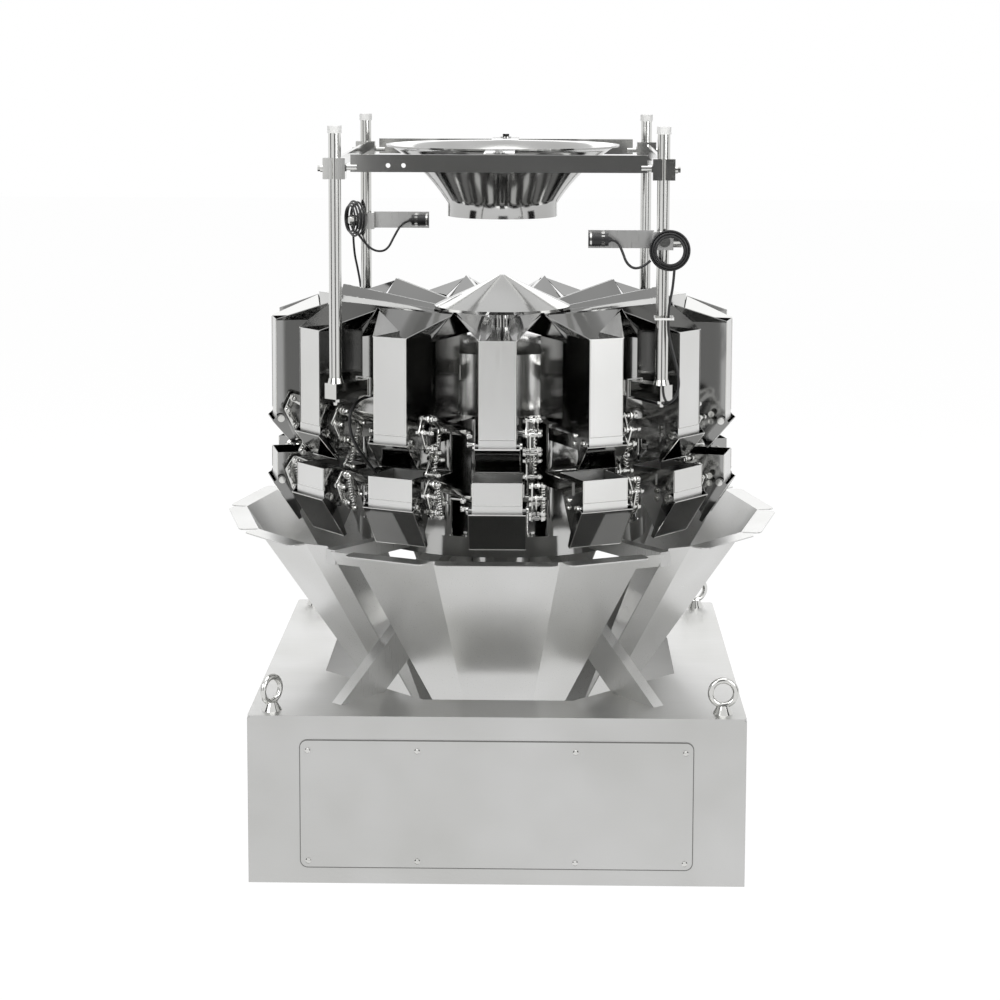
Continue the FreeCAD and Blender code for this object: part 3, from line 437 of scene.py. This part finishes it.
def addSpring(shape, start, end):
    along = end - start
    turn = along.to_track_quat("Z", "Y").to_matrix().to_4x4()
    matrix = Matrix.Translation(start) @ turn
    outside = Matrix.Translation((springs["coilRadius"] * mm, 0, 0))
    upright = Matrix.Rotation(math.pi / 2, 4, "X")
    ring = bmesh.ops.create_circle(
        shape,
        cap_ends=False,
        segments=6,
        radius=springs["wire"] * mm,
        matrix=matrix @ outside @ upright,
    )
    edges = set()
    for vert in ring["verts"]:
        edges.update(vert.link_edges)
    count = springs["turns"] * springs["steps"]
    bmesh.ops.spin(
        shape,
        geom=ring["verts"] + list(edges),
        cent=start,
        axis=along.normalized(),
        dvec=along / count,
        angle=2 * math.pi * springs["turns"],
        steps=count,
        use_merge=False,
        use_duplicate=False,
    )


shape = bmesh.new()
addSpring(shape, point(70, -424, 790), point(70, -404, 862))
addSpring(shape, point(86, -428, 708), point(86, -440, 765))
template = templateMesh(shape)
shape = bmesh.new()
for head in range(headCount):
    copyInto(shape, template, headMatrix(head))
meshPiece("linkSprings", shape, brightSteel, 60)

# ---- hems and pivot bolts that move with each gate
gateFacts = {
    "feed": {
        "hinge": (464, 849),
        "tilt": 40.24,
        "depth": 15.56,
        "above": 7.9,
        "below": 60.2,
        "outer": 43.5,
    },
    "weigh": {
        "hinge": (464, 726),
        "tilt": 33.18,
        "depth": 16.97,
        "above": 5.1,
        "below": 88,
        "outer": 55.5,
    },
}
hemSize = {"radius": 1.1, "inset": 1.2}


def gateTemplate(facts):
    shape = bmesh.new()
    depth = facts["depth"] - 0.4
    top = facts["above"] - hemSize["inset"]
    low = -(facts["below"] - hemSize["inset"])
    side = facts["outer"] - hemSize["inset"]
    corners = [(-side, low), (side, low), (side, top), (-side, top)]
    for number in range(4):
        start = corners[number]
        end = corners[(number + 1) % 4]
        addRod(
            shape,
            point(start[0], -depth, start[1]),
            point(end[0], -depth, end[1]),
            hemSize["radius"],
            8,
        )
    for way in (-1, 1):
        base = facts["outer"] * way
        addRod(shape, point(base, 0, 0), point(base + 3 * way, 0, 0), 7.2)
        addRod(shape, point(base + 2.9 * way, 0, 0), point(base + 3.9 * way, 0, 0), 6.0, 6)
    return templateMesh(shape)


for kind, facts in gateFacts.items():
    template = gateTemplate(facts)
    hinge = point(0, -facts["hinge"][0], facts["hinge"][1])
    for head in range(headCount):
        shape = bmesh.new()
        lean = Matrix.Rotation(math.radians(facts["tilt"]), 4, "X")
        copyInto(shape, template, headMatrix(head) @ Matrix.Translation(hinge) @ lean)
        number = "%02d" % (head + 1)
        meshPiece(kind + "GateHem" + number, shape, brightSteel, body=kind + "_gate_" + number)
print("gate hems made")

# ---- folded edges and hinge nuts on the hopper fronts
hopperEdges = {
    "feed": {"half": 35.5, "low": 862, "high": 1049, "front": 472, "hinge": 849},
    "weigh": {"half": 47.5, "low": 737, "high": 780, "front": 472, "hinge": 726},
}
for kind, facts in hopperEdges.items():
    shape = bmesh.new()
    for way in (-1, 1):
        place = (facts["half"] - 1.2) * way
        start = point(place, -(facts["front"] - 0.6), facts["low"])
        end = point(place, -(facts["front"] - 0.6), facts["high"] - 1.2)
        addRod(shape, start, end, 1.5, 10)
    start = point(-(facts["half"] - 1.2), -(facts["front"] - 0.8), facts["low"])
    end = point(facts["half"] - 1.2, -(facts["front"] - 0.8), facts["low"])
    addRod(shape, start, end, 1.2, 10)
    outer = facts["half"] + 12.5
    for height in (0, 15):
        place = point(-outer, -(facts["front"] - 26), facts["hinge"] + height)
        addRod(shape, place, place - point(10, 0, 0), linkSize["pin"])
        addRod(shape, place - point(3, 0, 0), place - point(7, 0, 0), linkSize["nut"], 6)
        addRod(shape, place - point(7.5, 0, 0), place - point(9, 0, 0), linkSize["washer"])
    template = templateMesh(shape)
    shape = bmesh.new()
    for head in range(headCount):
        copyInto(shape, template, headMatrix(head))
    meshPiece(kind + "HopperEdges", shape, brightSteel)

# ---- toggle latches that hold the drum down on its flange
latch = {"azimuths": (-41, 79, 199), "wall": 148, "low": 848, "high": 926, "half": 11}


def latchTemplate():
    shape = bmesh.new()
    wall = latch["wall"]
    low = latch["low"]
    high = latch["high"]
    half = latch["half"]
    base = [(wall + 0.5, low + 34), (wall + 3, low + 34), (wall + 3, high - 6), (wall + 0.5, high - 6)]
    addPlate(shape, base, -half, half, 0.6)
    lever = [
        (wall + 3, high - 12),
        (wall + 9, high - 4),
        (wall + 13, high - 8),
        (wall + 12, low + 44),
        (wall + 8, low + 40),
        (wall + 4, low + 46),
    ]
    addPlate(shape, lever, -(half - 3), half - 3, 0.8)
    hook = [(wall + 0.5, low + 4), (wall + 5, low + 4), (wall + 5, low + 22), (wall + 0.5, low + 24)]
    addPlate(shape, hook, -half, half, 0.6)
    loop = -(wall + 8)
    wire = 1.8
    addRod(shape, point(-half, loop, low + 8), point(half, loop, low + 8), 2.2)
    for way in (-1, 1):
        x = (half + 3) * way
        foot = point(x, loop, low + 6)
        head = point(x, loop, low + 50)
        addRod(shape, foot, head, wire)
        addRod(shape, head, point(x - 4 * way, loop, low + 54), wire)
        addRod(shape, foot, point(x - 5 * way, loop, low + 4), wire)
        for height in (low + 14, low + 30, low + 48):
            addRod(shape, point(x - 2, loop, height), point(x + 2, loop, height), 3.6, 6)
    return templateMesh(shape)


template = latchTemplate()
shape = bmesh.new()
for azimuth in latch["azimuths"]:
    copyInto(shape, template, Matrix.Rotation(math.radians(azimuth), 4, "Z"))
meshPiece("drumLatches", shape, brightSteel)
print("latches made")

# ---- screws of the service covers and bolts of the disc
screwSize = {"cover": 5.5, "disc": 7.65}


def addScrew(shape, place, way, radius):
    # A low round head with a hex socket rim.
    brim = place + way * radius * 0.35 * mm
    addRod(shape, place, brim, radius, 18)
    crown = place + way * radius * 0.62 * mm
    addRod(shape, brim, crown, radius, 18, radius * 0.7)
    addRod(shape, crown, place + way * radius * 0.7 * mm, radius * 0.42, 6)


shape = bmesh.new()
front = Vector((0, -1, 0))
for x in (-360, -151, 151, 360):
    for z in (45, 262):
        addScrew(shape, point(x, -477, z), front, screwSize["cover"])
template = templateMesh(shape)
shape = bmesh.new()
for side in range(4):
    copyInto(shape, template, Matrix.Rotation(side * math.pi / 2, 4, "Z"))
meshPiece("coverScrews", shape, brightSteel)

# ---- dark grey ring round each service cover: painted shadow of the gap at the cover's edge
gapShadow = {"half": (375, 125), "middle": 157, "corner": 14, "wide": 1.6, "face": 477.3, "back": 474}


def roundedLoop(shape, grow, depth):
    corner = gapShadow["corner"] + grow
    verts = []
    for turn in range(4):
        wayX = (1, -1, -1, 1)[turn]
        wayZ = (1, 1, -1, -1)[turn]
        for step in range(7):
            angle = math.radians(90 * turn + 15 * step)
            x = (gapShadow["half"][0] - gapShadow["corner"]) * wayX + corner * math.cos(angle)
            z = (gapShadow["half"][1] - gapShadow["corner"]) * wayZ + corner * math.sin(angle)
            verts.append(shape.verts.new(point(x, -depth, gapShadow["middle"] + z)))
    return verts


shape = bmesh.new()
loops = [
    roundedLoop(shape, gapShadow["wide"] / 2, gapShadow["back"]),
    roundedLoop(shape, gapShadow["wide"] / 2, gapShadow["face"]),
    roundedLoop(shape, -gapShadow["wide"] / 2, gapShadow["face"]),
    roundedLoop(shape, -gapShadow["wide"] / 2, gapShadow["back"]),
]
for number in range(4):
    this = loops[number]
    other = loops[(number + 1) % 4]
    for place in range(len(this)):
        after = (place + 1) % len(this)
        shape.faces.new((this[place], this[after], other[after], other[place]))
template = templateMesh(shape)
shape = bmesh.new()
for side in range(4):
    copyInto(shape, template, Matrix.Rotation(side * math.pi / 2, 4, "Z"))
meshPiece("coverGapShadows", shape, gapShadowGrey)
shape = bmesh.new()
up = Vector((0, 0, 1))
for head in range(headCount):
    across = headMatrix(head + 0.5) @ point(0, -283, 640)
    addRod(shape, across, across + up * 2 * mm, 11, 20)
    addRod(shape, across + up * 2 * mm, across + up * 8 * mm, screwSize["disc"], 6)
meshPiece("discBolts", shape, brightSteel)
print("screws made")

# ---- cables
cables = {
    "rightSensorCable": {
        "diameter": 5,
        "points": [
            (207.3, -401.3, 1234),
            (224, -401.3, 1233),
            (234, -403, 1210),
            (241, -406, 1190),
            (256, -410, 1179),
            (276, -413, 1186),
            (286, -413.5, 1196),
        ],
    },
    "rightSensorLead": {
        "diameter": 5,
        "points": [
            (331, -414, 1180),
            (329, -414, 1146),
            (322, -408, 1112),
            (320, -406, 1062),
            (330, -408, 1022),
            (340, -411, 985),
            (343, -412, 955),
            (334, -408, 930),
            (314, -392, 918),
            (291, -366, 920),
            (257, -319, 923),
            (213.5, -271, 922),
            (176, -217.7, 923),
            (133.3, -168.7, 922),
            (94, -118, 922),
        ],
    },
    "leftSensorCable": {
        "diameter": 5,
        "points": [
            (-208.3, 376.7, 1212),
            (-228, 376.7, 1208),
            (-246, 375, 1178),
            (-262, 372, 1145),
            (-288, 370, 1142),
            (-312, 372, 1160),
            (-326, 374, 1180),
        ],
    },
    "leftSensorLead": {
        "diameter": 5,
        "points": [
            (-338, 380, 1176),
            (-337, 384, 1140),
            (-330, 404, 1100),
            (-322, 408, 1050),
            (-330, 409, 1010),
            (-341, 412, 972),
            (-336, 408, 932),
            (-314, 392, 918),
            (-291, 366, 920),
            (-257, 319, 923),
            (-213.5, 271, 922),
            (-176, 217.7, 923),
            (-133.3, 168.7, 922),
            (-94, 118, 922),
        ],
    },
    "frontLeftCable": {
        "diameter": 6,
        "points": [
            (-94, -118, 922),
            (-133.3, -168.7, 921),
            (-176, -217.7, 922),
            (-213.5, -271, 921),
            (-246, -312, 922),
            (-268, -336, 918),
            (-284, -352, 902),
            (-288, -356, 876),
            (-283, -352, 846),
            (-272, -344, 822),
            (-256, -332, 796),
            (-238, -316, 768),
            (-222, -298, 742),
            (-206, -280, 716),
            (-196, -262, 690),
            (-192, -254, 664),
            (-190, -250, 644),
        ],
    },
}


def cableCurve(name, facts):
    curve = bpy.data.curves.new(name, "CURVE")
    curve.dimensions = "3D"
    curve.bevel_depth = facts["diameter"] / 2 * mm
    curve.bevel_resolution = 4
    curve.resolution_u = 8
    curve.use_fill_caps = True
    spline = curve.splines.new("NURBS")
    spline.points.add(len(facts["points"]) - 1)
    for target, place in zip(spline.points, facts["points"]):
        target.co = (place[0] * mm, place[1] * mm, place[2] * mm, 1)
    spline.order_u = 3
    spline.use_endpoint_u = True
    curve.materials.append(blackSheath)
    piece = bpy.data.objects.new(name, curve)
    scene.collection.objects.link(piece)
    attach(piece, "frame")
    return piece, spline.calc_length()


for name, facts in cables.items():
    piece, length = cableCurve(name, facts)
print("cables made")

# ---- spare cable wound in a ring on each sensor post
cableCoils = {
    "right": {"centre": (322, -415, 1215), "normal": (0, 1, 0), "radius": 31, "flat": 1.15},
    "left": {"centre": (-336, 376, 1215), "normal": (0.9, 0.45, 0), "radius": 33, "flat": 1.12},
}


def coilPiece(name, facts):
    shape = bmesh.new()
    normal = Vector(facts["normal"]).normalized()
    turn = normal.to_track_quat("Z", "Y").to_matrix().to_4x4()
    matrix = Matrix.Translation(point(*facts["centre"])) @ turn
    for number in range(5):
        radius = (facts["radius"] - 4 + (number * 2 % 5) * 2.4) * mm
        lift = (number - 2) * 4.6 * mm
        ring = bmesh.ops.create_circle(
            shape,
            cap_ends=False,
            segments=8,
            radius=2.4 * mm,
            matrix=matrix
            @ Matrix.Translation((radius, 0, lift))
            @ Matrix.Rotation(math.pi / 2, 4, "X"),
        )
        edges = set()
        for vert in ring["verts"]:
            edges.update(vert.link_edges)
        bmesh.ops.spin(
            shape,
            geom=ring["verts"] + list(edges),
            cent=matrix.translation,
            axis=normal,
            angle=2 * math.pi,
            steps=48,
            use_merge=True,
            use_duplicate=False,
        )
    return meshPiece(name, shape, blackSheath, 60)


for side, facts in cableCoils.items():
    coilPiece(side + "CableCoil", facts)
print("coils made")

# ---- white straps that tie the leads to posts and arms
straps = [
    {"place": (313, -400, 1086), "turn": 0, "half": (17, 21), "wide": 4},
    {"place": (-262, -328, 942), "turn": -38.57, "half": (17, 17), "wide": 4, "across": True},
    {"place": (262, -328, 942), "turn": 38.57, "half": (17, 17), "wide": 4, "across": True},
]
strapThick = 1.2


def addStrap(shape, facts):
    # A square loop of thin strap, level round a post or upright round an arm.
    wide = facts["wide"] / 2
    halfX, halfY = facts["half"]
    loop = [(-halfX, -halfY), (halfX, -halfY), (halfX, halfY), (-halfX, halfY)]
    rings = []
    for grow in (0, strapThick):
        for lift in (-wide, wide):
            ring = []
            for x, y in loop:
                x += math.copysign(grow, x)
                y += math.copysign(grow, y)
                ring.append((x, lift, y) if facts.get("across") else (x, y, lift))
            rings.append(ring)
    turn = Matrix.Rotation(math.radians(facts["turn"]), 4, "Z")
    matrix = Matrix.Translation(point(*facts["place"])) @ turn
    verts = [[shape.verts.new(matrix @ point(*corner)) for corner in ring] for ring in rings]
    order = [verts[0], verts[1], verts[3], verts[2]]
    for number in range(4):
        this = order[number]
        other = order[(number + 1) % 4]
        for corner in range(4):
            after = (corner + 1) % 4
            shape.faces.new((this[corner], this[after], other[after], other[corner]))


shape = bmesh.new()
for facts in straps:
    addStrap(shape, facts)
meshPiece("cableStraps", shape, whiteCap)

# ---- bolts and nuts of the top frame
shape = bmesh.new()
for sideX in (-1, 1):
    for sideY in (-1, 1):
        start = point(331 * sideX, 400 * sideY, 1366)
        way = Vector((sideX, 0, 0))
        addRod(shape, start, start + way * 5 * mm, 7, 18)
        addRod(shape, start + way * 5 * mm, start + way * 10 * mm, 5.5, 6)
        foot = point(310 * sideX, 389 * sideY, 957)
        addRod(shape, foot, foot + Vector((0, 0, 10 * mm)), 15.5, 28, 13)
        under = point(310 * sideX, 389 * sideY, 927)
        addRod(shape, under, under - Vector((0, 0, 7 * mm)), 8, 6)
        addRod(shape, under - Vector((0, 0, 7 * mm)), under - Vector((0, 0, 13 * mm)), 5, 14, 4)
        barEnd = point(287 * sideX, 389 * sideY, 1368)
        addRod(shape, barEnd, barEnd + Vector((9 * mm * sideX, 0, 0)), 8, 6)
meshPiece("frameBolts", shape, brightSteel)
print("frame bolts made")

# ---- infeed funnel: one spun bell with a flat lip and two tabs on the bars
bell = {
    "lip": [(239, 1396), (239, 1392.5), (227, 1391.5)],
    "curve": [(227, 1391.5), (157, 1346), (112, 1276)],
    "steps": 16,
    "neck": 1250,
    "wall": 1.6,
    "sides": 96,
}


def bellProfile():
    outer = list(bell["lip"])
    start, middle, end = bell["curve"]
    for step in range(1, bell["steps"] + 1):
        t = step / bell["steps"]
        outer.append(
            tuple(
                (1 - t) ** 2 * start[axis] + 2 * t * (1 - t) * middle[axis] + t * t * end[axis]
                for axis in (0, 1)
            )
        )
    outer.append((bell["curve"][2][0], bell["neck"]))
    inner = [(radius - bell["wall"], height + bell["wall"] * 0.7) for radius, height in outer[2:-1]]
    inner.append((outer[-1][0] - bell["wall"], bell["neck"]))
    return outer + inner[::-1] + [(237.4, 1396)]


shape = bmesh.new()
profile = [shape.verts.new(point(radius, 0, height)) for radius, height in bellProfile()]
edges = [shape.edges.new((profile[number - 1], profile[number])) for number in range(len(profile))]
bmesh.ops.spin(
    shape,
    geom=profile + edges,
    cent=(0, 0, 0),
    axis=(0, 0, 1),
    angle=2 * math.pi,
    steps=bell["sides"],
    use_merge=True,
    use_duplicate=False,
)
for way in (-1, 1):
    tab = [(232, 1392), (397, 1392), (397, 1395.5), (232, 1395.5)]
    addPlate(shape, [(radius * way, height) for radius, height in tab], -29, 29, 0.8)
    addRod(shape, point(0, 389 * way, 1395.5), point(0, 389 * way, 1397), 12, 24)
    addRod(shape, point(0, 389 * way, 1397), point(0, 389 * way, 1403), 8, 6)
funnel = meshPiece("bellFunnel", shape, polishedSheet, 40)
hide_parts("infeed_funnel")
print("funnel made")

# ---- level sensors: ribbed black barrel, bright nut and face
sensorFacts = {
    "right": {"x": 169, "way": 1, "y": -401.3, "z": 1234},
    "left": {"x": -170, "way": -1, "y": 376.7, "z": 1212},
}


def barrelPoint(facts, reach):
    # A place on the axis of a sensor, so far behind its face.
    return point(facts["x"] + reach * facts["way"], facts["y"], facts["z"])


bright = bmesh.new()
dark = bmesh.new()
for facts in sensorFacts.values():
    addRod(dark, barrelPoint(facts, 0.4), barrelPoint(facts, 3), 9, 28)
    for reach in range(8, 24, 4):
        addRod(dark, barrelPoint(facts, reach), barrelPoint(facts, reach + 2), 12.9, 28)
    addRod(bright, barrelPoint(facts, 3), barrelPoint(facts, 6.5), 13.2, 28)
    addRod(bright, barrelPoint(facts, 25), barrelPoint(facts, 31), 13.4, 6)
    addRod(dark, barrelPoint(facts, 37), barrelPoint(facts, 44), 7, 20, 3.4)
for way, y, z in ((1, -392, 1232), (-1, 392, 1210)):
    addRod(bright, point(329 * way, y, z), point(345 * way, y, z), 13, 28)
    addRod(bright, point(345 * way, y, z), point(350 * way, y, z), 13, 28, 8)
    addRod(bright, point(312 * way, y * 1.038, z), point(312 * way, y * 1.062, z), 11, 24)
meshPiece("sensorFaces", dark, blackMoulded)
meshPiece("sensorNuts", bright, brightSteel)
print("sensors dressed")

# ---- floor, backdrop and lights
floorSize = 40.0


def stageMaterial(name, colour):
    # Plain white to the camera and in reflections; a share of it keeps the object's shadow.
    material = bpy.data.materials.new(name)
    material.use_nodes = True
    tree = material.node_tree
    tree.nodes.clear()
    output = addNode(tree, "ShaderNodeOutputMaterial")
    diffuse = addNode(tree, "ShaderNodeBsdfDiffuse", {"Color": linear(colour)})
    glow = addNode(tree, "ShaderNodeEmission", {"Color": (1, 1, 1, 1), "Strength": 1.06})
    path = addNode(tree, "ShaderNodeLightPath")
    seen = addNode(
        tree,
        "ShaderNodeMath",
        {"operation": "MAXIMUM"},
        {0: path.outputs["Is Camera Ray"], 1: path.outputs["Is Glossy Ray"]},
    )
    share = addNode(
        tree, "ShaderNodeMath", {"operation": "MULTIPLY", 1: 0.92}, {0: seen.outputs["Value"]}
    )
    mix = addNode(tree, "ShaderNodeMixShader")
    tree.links.new(share.outputs["Value"], mix.inputs["Fac"])
    tree.links.new(diffuse.outputs["BSDF"], mix.inputs[1])
    tree.links.new(glow.outputs["Emission"], mix.inputs[2])
    tree.links.new(mix.outputs["Shader"], output.inputs["Surface"])
    return material


floorMesh = bpy.data.meshes.new("floor")
shape = bmesh.new()
bmesh.ops.create_grid(shape, x_segments=1, y_segments=1, size=floorSize / 2)
shape.to_mesh(floorMesh)
shape.free()
floor = bpy.data.objects.new("floor", floorMesh)
scene.collection.objects.link(floor)
floorMesh.materials.append(stageMaterial("white studio floor", "f4f4f4"))

world = bpy.data.worlds.new("studio")
scene.world = world
world.use_nodes = True
worldTree = world.node_tree
worldTree.nodes.clear()
worldOutput = addNode(worldTree, "ShaderNodeOutputWorld")
dim = addNode(worldTree, "ShaderNodeBackground", {"Color": linear("9a9a9a"), "Strength": 0.6})
white = addNode(worldTree, "ShaderNodeBackground", {"Color": (1, 1, 1, 1), "Strength": 1.0})
worldPath = addNode(worldTree, "ShaderNodeLightPath")
worldMix = addNode(worldTree, "ShaderNodeMixShader")
worldSeen = addNode(
    worldTree,
    "ShaderNodeMath",
    {"operation": "MAXIMUM"},
    {0: worldPath.outputs["Is Camera Ray"], 1: worldPath.outputs["Is Glossy Ray"]},
)
worldTree.links.new(worldSeen.outputs["Value"], worldMix.inputs["Fac"])
worldTree.links.new(dim.outputs["Background"], worldMix.inputs[1])
worldTree.links.new(white.outputs["Background"], worldMix.inputs[2])
worldTree.links.new(worldMix.outputs["Shader"], worldOutput.inputs["Surface"])

# Dark cards beside and behind the camera give the polished tubes their stripes
cards = {
    "leftCard": {"azimuth": -64, "reach": 3.2, "wide": 0.9, "high": 3.4, "shade": "101010"},
    "rightCard": {"azimuth": 64, "reach": 3.2, "wide": 0.9, "high": 3.4, "shade": "101010"},
    "cameraCard": {"azimuth": 2, "reach": 5.6, "wide": 1.9, "high": 4.2, "shade": "747474"},
}
for name, card in cards.items():
    shape = bmesh.new()
    bmesh.ops.create_grid(shape, x_segments=1, y_segments=1, size=0.5)
    bmesh.ops.scale(shape, vec=(card["wide"], card["high"], 1), verts=shape.verts)
    upright = Matrix.Rotation(math.pi / 2, 4, "X")
    moved = Matrix.Translation((0, -card["reach"], card["high"] / 2)) @ upright
    turn = Matrix.Rotation(math.radians(card["azimuth"]), 4, "Z")
    bmesh.ops.transform(shape, matrix=turn @ moved, verts=shape.verts)
    cardMesh = bpy.data.meshes.new(name)
    shape.to_mesh(cardMesh)
    shape.free()
    cardMesh.materials.append(plasticMaterial(name + " felt", card["shade"], 0.9, 4.0, 0.1))
    panel = bpy.data.objects.new(name, cardMesh)
    scene.collection.objects.link(panel)
    panel.visible_camera = False
    panel.visible_diffuse = False
    panel.visible_shadow = False

lamps = {
    "key": {"place": (-3.0, -4.5, 3.2), "size": (2.4, 2.4), "power": 110},
    "fill": {"place": (3.4, -4.2, 2.4), "size": (2.4, 2.4), "power": 90},
    "top": {"place": (0.0, -0.5, 4.6), "size": (3.5, 3.5), "power": 70},
    "back": {"place": (0.0, 4.5, 3.0), "size": (3.0, 2.0), "power": 20},
}
for name, lamp in lamps.items():
    light = bpy.data.lights.new(name, "AREA")
    light.shape = "RECTANGLE"
    light.size = lamp["size"][0]
    light.size_y = lamp["size"][1]
    light.energy = lamp["power"]
    holder = bpy.data.objects.new(name, light)
    scene.collection.objects.link(holder)
    holder.location = lamp["place"]
    towards = Vector((0, 0, 0.75)) - Vector(lamp["place"])
    holder.rotation_euler = towards.to_track_quat("-Z", "Y").to_euler()
print("stage lit")
